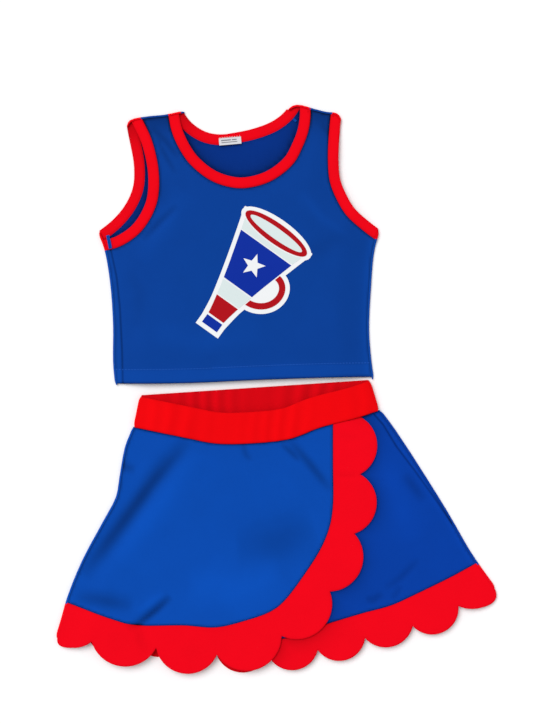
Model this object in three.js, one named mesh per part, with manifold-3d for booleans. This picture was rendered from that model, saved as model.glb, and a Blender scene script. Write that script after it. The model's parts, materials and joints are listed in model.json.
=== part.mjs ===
// Child's two-piece cheer uniform, lying flat: a sleeveless top and a faux-wrap skirt with scalloped trim.
// Millimetres, +Z up, +Y towards the neck. Each garment is a stack of flat cloth pieces.
import * as THREE from 'three';
import { mergeVertices } from 'three/addons/utils/BufferGeometryUtils.js';
import Module from 'manifold-3d';

const wasm = await Module();
wasm.setup();

// ---- driving dimensions ----
const topWidth = 261; // across the hem of the top
const topLength = 272; // hem to shoulder
const waistWidth = 246; // across the relaxed waist seam
const skirtLength = 233; // waist seam to the lowest notch of the hem
const bindingWidth = 10.5; // folded strip round neck and armholes
const waistbandHeight = 31;
const wrapScallopDepth = 1; // share of the drawn bulge, 1 as sewn
const labelWidth = 22;
const labelHeight = 7;
const hemHeight = 14; // hem edge to its cover stitch

const cloth = 0.8; // one layer of double knit
const bindingThick = 1.6; // the folded strip
const elasticThick = 1;
const elasticInset = 3; // elastic is narrower than the band by this on each edge
const filmThick = 0.25; // one layer of the transfer print
const labelThick = 0.4;
const seamWide = 1.2; // wall of a side or shoulder seam
const stitchWide = 0.9;
const stitchHigh = 0.4;
const gap = 0.3; // between pieces that are sewn together
const layGap = 0.1; // between a print or a stitch and the cloth under it
const topHollow = 6.4; // between front and back of the top
const skirtHollow = 4.8; // between the back and the under panel
const bandHollow = 5; // between front and back of the waistband
const garmentGap = 1; // waistband corner to the hem of the top

// ---- levels ----
const topFront = cloth + topHollow;
const bindingLift = (bindingThick - cloth) / 2;
const underLevel = cloth + skirtHollow;
const wrapLevel = underLevel + cloth + gap;
const wrapTop = wrapLevel + cloth;
const bandStep = [0, cloth + gap, cloth + elasticThick + 2 * gap];
const backBandTop = bandStep[2] + cloth;
const frontBandLevel = backBandTop + bandHollow;
const bandTop = frontBandLevel + backBandTop;

// ---- colours ----
const colour = (color, roughness = 0.8) => new THREE.MeshStandardMaterial({ color, roughness, metalness: 0 });
const blueKnit = colour(0x164397);
const skirtKnit = colour(0x0f49ac);
const redKnit = colour(0xf30218);
const trimKnit = colour(0xeb0116);
const whiteFilm = colour(0xf4f6f6, 0.55);
const paleFilm = colour(0xe2eeee, 0.55);
const blueFilm = colour(0x0a2fa2, 0.55);
const redFilm = colour(0xb2121e, 0.55);
const labelSatin = colour(0xeeeeec, 0.5);
const elasticWhite = colour(0xe8e8e4, 0.9);
const thread = colour(0x14408f, 0.7);

// ---- drawing helpers ----
const far = 400;

// each garment is drawn at its sewn size and scaled about one point to the driving size
function drawnIn(anchor, drawnWidth, width, drawnLength, length, shiftY = 0) {
  return (points) => points.map(([x, y]) => new THREE.Vector2(
    anchor[0] + (x - anchor[0]) * width / drawnWidth,
    anchor[1] + (y - anchor[1]) * length / drawnLength + shiftY,
  ));
}

// a curve through the points, without overshoot where they lie close together
function smooth(points, steps = 4) {
  const through = points.map((point) => new THREE.Vector3(point.x, point.y, 0));
  const curve = new THREE.CatmullRomCurve3(through, false, 'centripetal');
  return curve.getPoints((points.length - 1) * steps).map((point) => new THREE.Vector2(point.x, point.y));
}

// a copy of an open line, moved to its left by the distance
function offset(line, distance) {
  return line.map((point, i) => {
    const before = line[Math.max(i - 1, 0)];
    const after = line[Math.min(i + 1, line.length - 1)];
    const along = after.clone().sub(before).normalize();
    return new THREE.Vector2(point.x - along.y * distance, point.y + along.x * distance);
  });
}

const reversed = (line) => [...line].reverse();
const ribbon = (line, from, to) => [...offset(line, from), ...reversed(offset(line, to))];

// everything on the left of a line, out to far
function beyond(line, distance) {
  const edge = offset(line, distance);
  const first = edge[0];
  const last = edge[edge.length - 1];
  const along = last.clone().sub(first).normalize();
  const out = new THREE.Vector2(-along.y, along.x).multiplyScalar(far);
  const start = first.clone().addScaledVector(along, -far);
  const end = last.clone().addScaledVector(along, far);
  return [start, ...edge, end, end.clone().add(out), start.clone().add(out)];
}

// a round bulge on the right of the way from one notch to the next
function scallop(from, to, depth, steps = 9) {
  const half = to.clone().sub(from).multiplyScalar(0.5);
  const reach = half.length();
  const radius = (reach * reach + depth * depth) / (2 * depth);
  const out = new THREE.Vector2(half.y, -half.x).normalize();
  const centre = from.clone().add(half).addScaledVector(out, depth - radius);
  const start = from.clone().sub(centre).angle();
  const sweep = 2 * (depth > radius ? Math.PI - Math.asin(reach / radius) : Math.asin(reach / radius));
  const points = [];
  for (let i = 0; i < steps; i += 1) {
    const turn = start + sweep * i / steps;
    points.push(new THREE.Vector2(centre.x + radius * Math.cos(turn), centre.y + radius * Math.sin(turn)));
  }
  return points;
}

// bulges along a row of notches; the points run anticlockwise round the cloth
function scallops(notches, depths) {
  const line = [];
  depths.forEach((depth, i) => line.push(...scallop(notches[i], notches[i + 1], depth * wrapScallopDepth)));
  line.push(notches[notches.length - 1]);
  return line;
}

function plate(outline, low, thick) {
  const geometry = new THREE.ExtrudeGeometry(new THREE.Shape(outline), { depth: thick, bevelEnabled: false });
  geometry.translate(0, 0, low);
  return geometry;
}

// ---- joins and cuts ----
function solid(geometry) {
  const bare = geometry.index ? geometry.toNonIndexed() : geometry.clone();
  bare.deleteAttribute('normal');
  bare.deleteAttribute('uv');
  const merged = mergeVertices(bare, 1e-4);
  return new wasm.Manifold(new wasm.Mesh({
    numProp: 3,
    vertProperties: Float32Array.from(merged.attributes.position.array),
    triVerts: Uint32Array.from(merged.index.array),
  }));
}

function geometryOf(body) {
  const mesh = body.getMesh();
  const geometry = new THREE.BufferGeometry();
  geometry.setAttribute('position', new THREE.BufferAttribute(Float32Array.from(mesh.vertProperties), 3));
  geometry.setIndex(new THREE.BufferAttribute(Uint32Array.from(mesh.triVerts), 1));
  geometry.computeVertexNormals();
  return geometry;
}

const cutter = (outline) => solid(plate(outline, -far / 10, far / 5));

// a flat piece with the listed regions taken away
function trimmed(outline, low, thick, cutters) {
  return cutters.reduce((body, tool) => body.subtract(tool), solid(plate(outline, low, thick)));
}

// the separate part of a body whose middle is nearest to a point
function partNear(body, x, y) {
  const distance = (piece) => {
    const box = piece.boundingBox();
    return Math.hypot((box.min[0] + box.max[0]) / 2 - x, (box.min[1] + box.max[1]) / 2 - y);
  };
  return body.decompose().sort((a, b) => distance(a) - distance(b))[0];
}

const uniform = new THREE.Group();
const topGroup = new THREE.Group();
const skirtGroup = new THREE.Group();
uniform.add(topGroup, skirtGroup);

function add(group, name, shape, material) {
  const geometry = shape instanceof THREE.BufferGeometry ? shape : geometryOf(shape);
  const mesh = new THREE.Mesh(geometry, material);
  mesh.name = name;
  group.add(mesh);
}

// ---- the top ----
const top = drawnIn([-33, 12], 261, topWidth, 272, topLength);
const topHem = smooth(top([[-166, 6], [-159, 5.5], [-88, 6], [-16, 9.2], [56, 11.6], [98, 12.2],
  [104, 12.3]]), 3);
const sideLeft = smooth(top([[-178, 156], [-172, 141], [-166, 107], [-163, 64], [-163, 27], [-161, 4]]), 4);
const sideRight = smooth(top([[98, 10], [95.5, 27], [93, 60], [95, 103], [98, 137], [103.5, 158]]), 4);
const shoulderLeft = smooth(top([[-151, 262], [-146, 269], [-130, 272.7], [-112, 274.5], [-92, 278.5]]), 3);
const shoulderRight = smooth(top([[12, 281], [21, 284.5], [38, 280.5], [50, 277.5], [61, 275.8],
  [67, 269]]), 3);
const neckFront = smooth(top([[-109, 284], [-107, 270], [-104, 257], [-97, 241], [-86, 225], [-66, 209],
  [-44, 201.5], [-26, 201.5], [-3, 209], [17, 225], [26, 241], [32, 257], [34.5, 273], [34, 288]]));
const neckBack = smooth(top([[-97, 286], [-90, 273], [-82, 264.5], [-70, 257.5], [-56, 255], [-40, 257],
  [-22, 261], [-4, 268], [8, 277], [18, 291]]));
const armLeftFront = smooth(top([[-138, 278], [-134, 270], [-124, 248], [-117.2, 215.5], [-119.8, 184],
  [-135, 157.4], [-155.5, 143], [-174, 138]]));
const armLeftBack = smooth(top([[-140.5, 276], [-138.5, 262], [-131.8, 225], [-133, 200], [-142, 179],
  [-156, 162], [-176, 146]]));
const armRight = smooth(top([[105, 146], [90, 156.5], [71, 173], [61, 189], [54, 207], [52, 228], [53, 255],
  [56, 284]]));

const topEdges = [
  cutter(beyond(reversed(sideLeft), -(seamWide + gap))),
  cutter(beyond(reversed(sideRight), -(seamWide + gap))),
  cutter(beyond(shoulderLeft, -(seamWide + gap))),
  cutter(beyond(shoulderRight, -(seamWide + gap))),
];

function topPanel(neck, armLeft, armRightLine, level) {
  const outline = [
    ...topHem,
    ...offset(armRightLine, gap / 2),
    ...offset(reversed(neck), gap / 2),
    ...offset(armLeft, gap / 2),
  ];
  return trimmed(outline, level, cloth, topEdges);
}


const backNeckline = offset(neckBack, -bindingWidth);
add(topGroup, 'top_front_panel', topPanel(neckFront, armLeftFront, armRight, topFront), blueKnit);
add(topGroup, 'top_back_panel', topPanel(backNeckline, armLeftBack, armRight, 0), blueKnit);

// the folded strips, sewn to the cut edges
const frontStrip = topFront - bindingLift;
function binding(name, line, from, to, level) {
  add(topGroup, name, trimmed(ribbon(line, from, to), level, bindingThick, topEdges), redKnit);
}
binding('neck_binding_front', neckFront, gap / 2, bindingWidth, frontStrip);
binding('neck_binding_back', backNeckline, gap / 2, bindingWidth, 0);
binding('armhole_binding_left_front', armLeftFront, -gap / 2, -bindingWidth, frontStrip);
binding('armhole_binding_left_back', armLeftBack, -gap / 2, -bindingWidth, 0);
binding('armhole_binding_right_front', armRight, -gap / 2, -bindingWidth, frontStrip);
binding('armhole_binding_right_back', armRight, -gap / 2, -bindingWidth, 0);

// seams join front and back over the whole height
const topHeight = topFront + cloth;
add(topGroup, 'side_seam_left', plate(ribbon(sideLeft, 0, seamWide), 0, topHeight), blueKnit);
add(topGroup, 'side_seam_right', plate(ribbon(sideRight, 0, seamWide), 0, topHeight), blueKnit);
add(topGroup, 'shoulder_seam_left', plate(ribbon(shoulderLeft, 0, -seamWide), 0, topHeight), blueKnit);
add(topGroup, 'shoulder_seam_right', plate(ribbon(shoulderRight, 0, -seamWide), 0, topHeight), blueKnit);

// cover stitch of the turned hem, on the outside in front and on the inside at the back
function hemStitch(name, level) {
  const line = ribbon(topHem, hemHeight - stitchWide / 2, hemHeight + stitchWide / 2);
  add(topGroup, name, trimmed(line, level + cloth + layGap, stitchHigh, topEdges), thread);
}
hemStitch('hem_stitch_front', topFront);
hemStitch('hem_stitch_back', 0);

// size label, sewn by its upper edge to the back neck binding
const labelLevel = bindingThick + gap;
const labelLeft = top([[-57.2, 250.8]])[0];
const labelAlong = new THREE.Vector2(0.996, 0.089);
const labelEdge = [labelLeft, labelLeft.clone().addScaledVector(labelAlong, labelWidth)];
add(topGroup, 'neck_label', plate(ribbon(labelEdge, 0, -labelHeight), labelLevel, labelThick), labelSatin);
const tack = ribbon(labelEdge, gap, gap + stitchWide);
add(topGroup, 'label_stitch', plate(tack, bindingThick + layGap, stitchHigh), thread);

// ---- the transfer print: a megaphone with a star, in layers of film ----
const printCentre = top([[-30, 113]])[0];
const printTurn = 0.95; // radians, mouthpiece low, bell high
const coneLength = 104;
const coneTip = 9;
const coneBell = 36;
const bellDeep = 10; // half the short way across the bell's ellipse
const bellRim = 4.5; // width of the bell's rim
const keyline = 4.5; // white border round the print
const printLine = 1.6; // white line between two areas
const handleWide = 6;
const handleDrop = 25;
const starRadius = 12;
const printLevel = topFront + cloth + layGap;
const inkLevel = printLevel + filmThick + layGap;
const starLevel = inkLevel + filmThick + layGap;

const printAxis = new THREE.Vector2(Math.cos(printTurn), Math.sin(printTurn));
const onPrint = (along, across) => new THREE.Vector2(
  printCentre.x + (along - coneLength / 2) * printAxis.x - across * printAxis.y,
  printCentre.y + (along - coneLength / 2) * printAxis.y + across * printAxis.x,
);
const coneHalf = (along) => coneTip + (coneBell - coneTip) * (Math.max(along, 0) / coneLength) ** 1.2;

function coneBand(from, to, grow = 0) {
  const low = [];
  const high = [];
  for (let i = 0; i <= 6; i += 1) {
    const along = from - grow + (to - from + 2 * grow) * i / 6;
    low.push(onPrint(along, -coneHalf(along) - grow));
    high.push(onPrint(along, coneHalf(along) + grow));
  }
  return [...low, ...reversed(high)];
}

function ellipse(along, reachAlong, reachAcross, steps = 40) {
  const points = [];
  for (let i = 0; i < steps; i += 1) {
    const turn = 2 * Math.PI * i / steps;
    points.push(onPrint(along + reachAlong * Math.cos(turn), reachAcross * Math.sin(turn)));
  }
  return points;
}

function handle(grow) {
  const line = [];
  const from = coneLength * 0.3;
  const to = coneLength * 0.66;
  for (let i = 0; i <= 16; i += 1) {
    const turn = Math.PI * i / 16;
    const along = (from + to) / 2 - (to - from) / 2 * Math.cos(turn);
    const foot = coneHalf(along) * (1 - Math.sin(turn) * 0.3);
    line.push(onPrint(along, -foot - handleDrop * Math.sin(turn)));
  }
  return ribbon(line, -handleWide / 2 - grow, handleWide / 2 + grow);
}

function star(radius) {
  const points = [];
  for (let i = 0; i < 10; i += 1) {
    const turn = Math.PI * i / 5 + 0.28;
    const reach = i % 2 ? radius * 0.42 : radius;
    points.push(onPrint(coneLength * 0.62 + reach * Math.cos(turn), reach * Math.sin(turn)));
  }
  return points;
}

const mouthLength = 9;
const film = (outline, level) => solid(plate(outline, level, filmThick));
const mouth = (grow) => coneBand(-mouthLength - printLine, -printLine, grow);
const bell = (grow) => ellipse(coneLength, bellDeep + grow, coneBell + 1 + grow);
const backing = [coneBand(0, coneLength, keyline), mouth(keyline), bell(keyline), handle(keyline)]
  .map((outline) => film(outline, printLevel))
  .reduce((all, piece) => all.add(piece));
add(topGroup, 'print_backing', backing, whiteFilm);

const areas = {
  print_cone_tip: [0, 0.2, paleFilm],
  print_narrow_band: [0.2, 0.36, blueFilm],
  print_cone_middle: [0.36, 0.84, paleFilm],
  print_wide_band: [0.84, 1, blueFilm],
};
const bellCutter = cutter(bell(printLine));
for (const [name, [from, to, ink]] of Object.entries(areas)) {
  const outline = coneBand(from * coneLength + printLine / 2, to * coneLength - printLine / 2);
  add(topGroup, name, film(outline, inkLevel).subtract(bellCutter), ink);
}
add(topGroup, 'print_mouthpiece', film(mouth(0), inkLevel), blueFilm);
const bellHole = (inset) => ellipse(coneLength, bellDeep - bellRim - inset, coneBell - bellRim - inset);
add(topGroup, 'print_bell_rim', film(bell(0), inkLevel).subtract(cutter(bellHole(0))), blueFilm);
add(topGroup, 'print_bell_inside', film(bellHole(gap), inkLevel), paleFilm);
const handleCutter = cutter(coneBand(0, coneLength, printLine));
const loopMiddle = onPrint(coneLength / 2, -coneBell);
const loopFilm = film(handle(0), inkLevel).subtract(handleCutter);
const loop = partNear(loopFilm, loopMiddle.x, loopMiddle.y);
add(topGroup, 'print_handle', loop, blueFilm);
add(topGroup, 'print_star', film(star(starRadius), starLevel), redFilm);

// ---- the skirt ----
const drawnBand = 31;
const drawnGap = 1;
const skirtShift = drawnBand - waistbandHeight + drawnGap - garmentGap;
const skirt = drawnIn([-20, -21.5], 246, waistWidth, 233, skirtLength, skirtShift);
const waistFront = smooth(skirt([[-150, -36.5], [-142.6, -38], [-124, -41.7], [-88, -49], [-60, -54.2],
  [-27, -54.2], [14, -49.5], [44, -38.3], [79.7, -29], [103, -21.5], [110, -19.3]]));
const waistBack = smooth(skirt([[-150, -38.5], [-20, -29.8], [103, -21.5], [110, -21]]));
const skirtLeft = smooth(skirt([[-142, -30], [-144.5, -41], [-151, -58], [-156.5, -88], [-160, -108],
  [-172, -131], [-194, -172], [-209, -209], [-215, -230], [-222, -253]]), 3);
const skirtRight = smooth(skirt([[222.5, -202], [210.5, -186], [194, -162], [171, -122], [120, -42],
  [103, -19], [98, -12]]), 3);
const bandLeft = skirt([[-144.6, -48], [-134.3, 2.5]]);
const bandRight = skirt([[89.5, 24], [106, -31]]);

const aboveWaist = cutter(beyond(waistFront, -gap / 2));
const aboveBackWaist = cutter(beyond(waistBack, -gap / 2));
const skirtSides = [
  cutter(beyond(reversed(skirtLeft), -(seamWide + gap))),
  cutter(beyond(reversed(skirtRight), -(seamWide + gap))),
];
const bandEnds = (inset) => [cutter(beyond(bandLeft, -inset)), cutter(beyond(bandRight, -inset))];

// seam lines run anticlockwise round the cloth, with the panel on their left and the trim on their right
const backSeam = smooth(skirt([[-220, -210], [-150, -232], [-80, -240], [0, -238], [80, -222], [150, -200],
  [218, -165]]));
const wrapSeam = smooth(skirt([[-220, -210], [-196, -218.5], [-165, -229.5], [-143, -235.5], [-92, -236],
  [-60, -238], [-33, -232], [-6, -222.5], [7, -213], [30, -183], [46, -157], [54, -136], [57, -116],
  [57, -75], [57, -33], [57, -20]]));
const underSeam = smooth(skirt([[-76, -30], [-76, -90], [-74, -140], [-66, -180], [-48, -215], [-25, -240],
  [2, -250], [51, -235], [86, -224.4], [114.8, -216.5], [140.3, -205], [183.4, -183.8], [218, -165]]));

const backNotches = skirt([[-226, -247], [-187, -252.5], [-132, -262], [-104, -259], [-60, -264.5],
  [-7, -265], [44, -254], [92, -243], [139, -231], [184, -211], [228, -196]]);
const backDepths = [6, 12, 8, 10, 19.5, 15, 15, 15, 14, 7];
const wrapNotches = skirt([[-226, -247], [-184, -252], [-119.6, -258.3], [-59, -265.2], [5.5, -246.3],
  [53.6, -202], [78, -144.3], [83.7, -85], [78, -25]]);
const wrapDepths = [9, 21.6, 22.3, 25, 22, 20, 19.4, 20];
const underNotches = skirt([[-104, -30], [-107, -100], [-98, -158], [-74, -212], [-40, -252], [-6, -269],
  [41.7, -260.6], [88.9, -248.8], [136.6, -236.7], [182.3, -216.9], [228, -200]]);
const underDepths = [17, 17, 17, 15, 10, 16, 16.7, 15, 17.8, 9.7];

const [upLeft, upRight] = skirt([[-300, 60], [300, 60]]);
const panelOutline = (seam, corners) => [...offset(seam, gap / 2), ...corners];
const trimOutline = (seam, notches, depths) => [
  ...scallops(notches, depths),
  ...reversed(offset(seam, -gap / 2)),
];

const backPanel = trimmed(panelOutline(backSeam, [upRight, upLeft]), 0, cloth,
  [aboveBackWaist, ...skirtSides]);
const backTrim = trimmed(trimOutline(backSeam, backNotches, backDepths), 0, cloth, skirtSides);
const underCorners = [upRight, new THREE.Vector2(underSeam[0].x, upRight.y)];
const underPanel = trimmed(panelOutline(underSeam, underCorners), underLevel, cloth,
  [aboveWaist, ...skirtSides]);
const underTrim = trimmed(trimOutline(underSeam, underNotches, underDepths), underLevel, cloth,
  [aboveWaist, ...skirtSides]);
add(skirtGroup, 'skirt_back_panel', backPanel, skirtKnit);
add(skirtGroup, 'skirt_back_trim', backTrim, trimKnit);
add(skirtGroup, 'skirt_under_panel', underPanel, skirtKnit);
add(skirtGroup, 'skirt_under_trim', underTrim, trimKnit);

// the wrap panel folds back along one line, from the waist seam to the middle of a scallop
const foldLine = skirt([[88, -32], [-35, -283]]);
const offFlap = cutter(beyond(foldLine, -gap / 2));
const offFixed = cutter(beyond(reversed(foldLine), -gap / 2));
const wrapCorners = [new THREE.Vector2(wrapSeam[wrapSeam.length - 1].x, upLeft.y), upLeft];
const wrapPanel = trimmed(panelOutline(wrapSeam, wrapCorners), wrapLevel, cloth, [aboveWaist, ...skirtSides]);
const wrapTrim = trimmed(trimOutline(wrapSeam, wrapNotches, wrapDepths), wrapLevel, cloth,
  [aboveWaist, ...skirtSides]);
const [trimTop, trimHem] = skirt([[66, -40], [-140, -245]]);
const fixedTrim = wrapTrim.subtract(offFlap);
add(skirtGroup, 'wrap_panel_fixed', wrapPanel.subtract(offFlap), skirtKnit);
add(skirtGroup, 'wrap_panel_flap', wrapPanel.subtract(offFixed), skirtKnit);
add(skirtGroup, 'wrap_trim_waist', partNear(fixedTrim, trimTop.x, trimTop.y), trimKnit);
add(skirtGroup, 'wrap_trim_hem', partNear(fixedTrim, trimHem.x, trimHem.y), trimKnit);
add(skirtGroup, 'wrap_trim_flap', wrapTrim.subtract(offFixed), trimKnit);

// side seams close the skirt from the waist seam to the hem
function skirtSeam(name, line) {
  add(skirtGroup, name, trimmed(ribbon(line, 0, seamWide), 0, wrapTop, [aboveWaist]), skirtKnit);
}
skirtSeam('skirt_seam_left', skirtLeft);
skirtSeam('skirt_seam_right', skirtRight);

// the waistband: folded cloth with elastic inside, front and back, closed at both ends
const endInset = seamWide + gap;
function bandLayer(name, line, level, thick, inset, ink) {
  const outline = ribbon(line, gap / 2 + inset, waistbandHeight - inset);
  add(skirtGroup, name, trimmed(outline, level, thick, bandEnds(endInset + inset)), ink);
}
function waistband(side, line, level, order) {
  bandLayer(`waistband_${side}_${order[0]}`, line, level + bandStep[0], cloth, 0, redKnit);
  bandLayer(`waist_elastic_${side}`, line, level + bandStep[1], elasticThick, elasticInset, elasticWhite);
  bandLayer(`waistband_${side}_${order[1]}`, line, level + bandStep[2], cloth, 0, redKnit);
}
waistband('back', waistBack, 0, ['outer', 'inner']);
waistband('front', waistFront, frontBandLevel, ['inner', 'outer']);

function bandEnd(name, endLine) {
  const whole = solid(plate(ribbon(waistFront, gap / 2, waistbandHeight), 0, bandTop));
  const outside = cutter(beyond(endLine, 0));
  const inside = cutter(beyond(reversed(endLine), seamWide));
  add(skirtGroup, name, whole.subtract(outside).subtract(inside), redKnit);
}
bandEnd('waistband_seam_left', bandLeft);
bandEnd('waistband_seam_right', bandRight);

// the middle of the whole outline, on the surface that it lies on, is the origin
const box = new THREE.Box3().setFromObject(uniform);
const middle = box.getCenter(new THREE.Vector3());
uniform.position.set(-middle.x, -middle.y, -box.min.z);

export default uniform;
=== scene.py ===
import json
import math
import bpy
import bmesh
import numpy as np
from mathutils import Matrix, Vector


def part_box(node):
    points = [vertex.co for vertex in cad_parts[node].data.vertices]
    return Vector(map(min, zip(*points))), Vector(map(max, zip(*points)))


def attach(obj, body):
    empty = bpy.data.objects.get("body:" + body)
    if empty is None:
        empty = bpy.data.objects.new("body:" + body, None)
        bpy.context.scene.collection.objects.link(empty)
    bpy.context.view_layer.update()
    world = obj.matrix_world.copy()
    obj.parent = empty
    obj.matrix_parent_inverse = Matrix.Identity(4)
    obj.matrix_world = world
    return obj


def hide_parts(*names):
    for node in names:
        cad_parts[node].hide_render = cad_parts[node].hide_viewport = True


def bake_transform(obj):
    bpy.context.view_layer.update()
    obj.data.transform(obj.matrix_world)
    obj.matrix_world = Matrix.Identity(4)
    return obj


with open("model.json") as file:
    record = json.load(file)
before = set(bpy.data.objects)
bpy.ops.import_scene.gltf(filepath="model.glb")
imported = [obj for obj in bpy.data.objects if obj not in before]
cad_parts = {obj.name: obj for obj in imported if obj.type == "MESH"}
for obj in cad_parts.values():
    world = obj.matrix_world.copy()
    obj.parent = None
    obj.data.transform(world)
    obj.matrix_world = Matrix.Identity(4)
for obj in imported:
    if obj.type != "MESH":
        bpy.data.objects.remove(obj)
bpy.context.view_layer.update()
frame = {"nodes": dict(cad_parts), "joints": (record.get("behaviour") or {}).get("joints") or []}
mm = 0.001
mergeReach = 0.01 * mm
cutReach = 0.02 * mm       # a point this close to a cut lies on it

# outlines are read from the flat CAD pieces
outlineSettings = {
    "halfGap": 0.15 * mm,      # half of the gap that the CAD pieces keep along a seam
    "cornerTurn": 30,          # degrees; a sharper turn than this stays a corner
    "straightTurn": 0.4,       # degrees; a smaller turn than this is no turn
    "longSide": 6 * mm,        # a side longer than this is meant to be straight
    "bridge": 0.7 * mm,        # points this close are joined across a straight cut
    "step": 2 * mm,
}


def upperSide(name):
    bm = bmesh.new()
    bm.from_mesh(frame["nodes"][name].data)
    bmesh.ops.remove_doubles(bm, verts=bm.verts, dist=mergeReach)
    bm.normal_update()
    under = [f for f in bm.faces if f.normal.z < 0.5]
    bmesh.ops.delete(bm, geom=under, context="FACES")
    return bm


def rimLoop(bm):
    # the longest loop of border points, anticlockwise
    bm.edges.index_update()
    left = {e.index: e for e in bm.edges if e.is_boundary}
    loops = []
    while left:
        edge = left.pop(min(left))
        start, here = edge.verts
        loop = [start.co.xy, here.co.xy]
        while here is not start:
            edge = min((e for e in here.link_edges if e.index in left), key=lambda e: e.index)
            del left[edge.index]
            here = edge.other_vert(here)
            loop.append(here.co.xy)
        loops.append(np.array(loop[:-1]))
    loop = max(loops, key=lengthOf)
    return loop if signedArea(loop) > 0 else loop[::-1]


def lengthOf(line):
    return float(np.linalg.norm(np.diff(line, axis=0), axis=1).sum())


def signedArea(loop):
    x, y = loop[:, 0], loop[:, 1]
    return 0.5 * float((x * np.roll(y, -1) - y * np.roll(x, -1)).sum())


def grown(loop, distance):
    # every side moved outwards by the distance
    ahead = np.roll(loop, -1, 0) - loop
    ahead /= np.maximum(np.linalg.norm(ahead, axis=1), 1e-9)[:, None]
    out = np.stack([ahead[:, 1], -ahead[:, 0]], 1)
    both = out + np.roll(out, 1, 0)
    scale = 2 / np.maximum((both ** 2).sum(1), 0.6)
    return loop + both * (scale * distance)[:, None]


def turns(loop):
    ahead = np.roll(loop, -1, 0) - loop
    angle = np.arctan2(ahead[:, 1], ahead[:, 0])
    turn = angle - np.roll(angle, 1)
    return np.degrees(np.abs((turn + math.pi) % (2 * math.pi) - math.pi))


def smoothRun(run, step):
    # a curve through the points of a run that has no corner inside it
    if len(run) < 3:
        parts = max(1, round(float(np.linalg.norm(run[1] - run[0])) / step))
        return [run[0] + (run[1] - run[0]) * k / parts for k in range(parts)]
    length = np.maximum(np.linalg.norm(np.diff(run, axis=0), axis=1), 1e-9)
    slope = np.zeros_like(run)
    slope[1:-1] = (run[2:] - run[:-2]) / (length[1:] + length[:-1])[:, None]
    slope[0] = 1.5 * (run[1] - run[0]) / length[0] - 0.5 * slope[1]
    slope[-1] = 1.5 * (run[-1] - run[-2]) / length[-1] - 0.5 * slope[-2]
    points = []
    for i, size in enumerate(length):
        parts = max(1, round(size / step))
        for k in range(parts):
            t = k / parts
            points.append((2 * t**3 - 3 * t**2 + 1) * run[i] + (t**3 - 2 * t**2 + t) * size * slope[i]
                          + (3 * t**2 - 2 * t**3) * run[i + 1] + (t**3 - t**2) * size * slope[i + 1])
    return points


def smoothLoop(loop, step):
    corners = np.flatnonzero(turns(loop) > outlineSettings["cornerTurn"])
    if not len(corners):
        corners = np.array([0])
    points = []
    for a, b in zip(corners, np.append(corners[1:], corners[0] + len(loop))):
        run = loop[np.arange(a, b + 1) % len(loop)]
        points += smoothRun(run, step)
    return np.array(points)


outlineStore = {}


def cutOutline(names, step=outlineSettings["step"]):
    # one outline of a CAD piece, or of pieces that a straight cut divides
    if (names, step) in outlineStore:
        return outlineStore[names, step]
    bm = bmesh.new()
    for name in names:
        loop = rimLoop(upperSide(name))
        long = np.linalg.norm(np.roll(loop, -1, 0) - loop, axis=1) > outlineSettings["longSide"]
        kept = (turns(loop) > outlineSettings["straightTurn"]) | ~long | ~np.roll(long, 1)
        loop = grown(loop[kept], outlineSettings["halfGap"])
        bm.faces.new([bm.verts.new((x, y, 0)) for x, y in loop])
    if len(names) > 1:
        bmesh.ops.remove_doubles(bm, verts=bm.verts, dist=outlineSettings["bridge"])
        shared = [e for e in bm.edges if len(e.link_faces) == 2]
        bmesh.ops.dissolve_edges(bm, edges=shared, use_verts=False)
    outlineStore[names, step] = smoothLoop(rimLoop(bm), step)
    bm.free()
    return outlineStore[names, step]


def sidesOf(name, count=60):
    # the two long sides of a strip, from the same end
    loop = rimLoop(upperSide(name))
    corners = sorted(np.argsort(turns(loop))[-4:])
    runs = [loop[np.arange(a, b + 1) % len(loop)]
            for a, b in zip(corners, corners[1:] + [corners[0] + len(loop)])]
    runs.sort(key=lengthOf)
    return evenly(runs[-1], count), evenly(runs[-2][::-1], count)


def evenly(line, count):
    along = np.append(0, np.cumsum(np.linalg.norm(np.diff(line, axis=0), axis=1)))
    at = np.linspace(0, along[-1], count)
    return np.stack([np.interp(at, along, line[:, k]) for k in (0, 1)], 1)


def away(points, line):
    # distance from each point to a line of points
    a, b = line[:-1], line[1:]
    best = np.full(len(points), 9.0)
    for p, q in zip(a, b):
        along = q - p
        t = np.clip(((points - p) @ along) / max(float(along @ along), 1e-12), 0, 1)
        best = np.minimum(best, np.linalg.norm(points - p - t[:, None] * along, axis=1))
    return best


def closed(loop):
    return np.vstack([loop, loop[:1]])


def outlineAway(points, names):
    # distance to the nearest of several outlines
    return np.min([away(points, closed(cutOutline((n,)))) for n in names], 0)


def nearest(points, spot):
    return int(np.argmin(np.linalg.norm(points - spot, axis=1)))


def nearness(points, line, reach):
    return np.exp(-(away(points, line) / reach) ** 2)


def rise(distance, width):
    # how high the cloth lies: a smooth rise from an edge, from 0 to 1
    t = np.clip(distance / width, 0, 1)
    return t * t * (3 - 2 * t)


def boxOf(names):
    low = np.min([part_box(n)[0] for n in names], 0)
    high = np.max([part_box(n)[1] for n in names], 0)
    return low[:2], high[:2]


topArea = boxOf(["top_front_panel"])
skirtArea = boxOf(["skirt_seam_left", "skirt_seam_right", "skirt_back_trim", "waistband_back_outer"])


def placed(area, shares):
    return np.array([area[0] + (area[1] - area[0]) * np.array(s) for s in shares])


foldParts = 23         # parts of a fold's line
foldFade = 0.6         # the smaller, the fuller a fold is near its ends


def fold(line, width, height, dark=1.0):
    # the line in shares of the garment's area, width and height in mm, dark times the usual shade
    return {"line": line, "width": width * mm, "height": height * mm, "dark": dark}


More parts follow.
